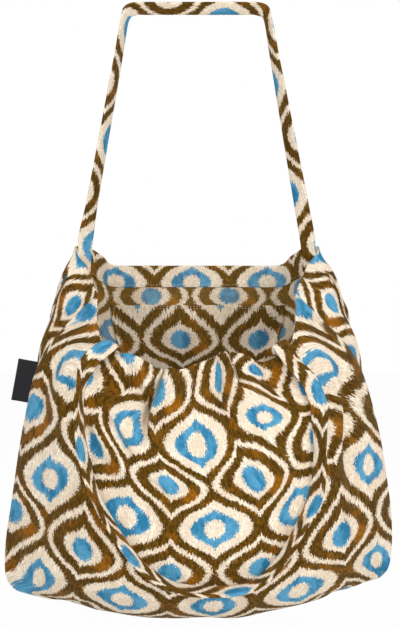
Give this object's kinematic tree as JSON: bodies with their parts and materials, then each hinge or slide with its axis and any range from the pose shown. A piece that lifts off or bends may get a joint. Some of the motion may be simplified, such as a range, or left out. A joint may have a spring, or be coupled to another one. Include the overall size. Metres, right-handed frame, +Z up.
{
  "type": "tote bag",
  "caption": "Soft unlined tote bag in patterned cloth, hung by its back strap with the front edge sagging open, with a flat inner pocket and a bare woven side tab.",
  "frame": {"origin": "middle of the back strap's level top run, on its underside, where the bag hangs on a peg, hook or rail", "axes": "+Z up, +Y towards the back of the bag, +X to the right as seen from the front"},
  "size_m": [0.4331, 0.2248, 0.6695],
  "materials": {
    "outer_cloth": "short pile, patterned",
    "inner_cloth": "short pile, patterned",
    "strap_cloth": "short pile, patterned",
    "tab_cloth": "woven satin, matt"
  },
  "bodies": {
    "root": {"front_panel": "outer_cloth", "back_panel": "outer_cloth", "front_facing": "inner_cloth", "back_facing": "inner_cloth", "inner_pocket": "inner_cloth", "back_strap": "strap_cloth", "front_strap": "strap_cloth", "side_tab": "tab_cloth"}
  },
  "joints": []
}
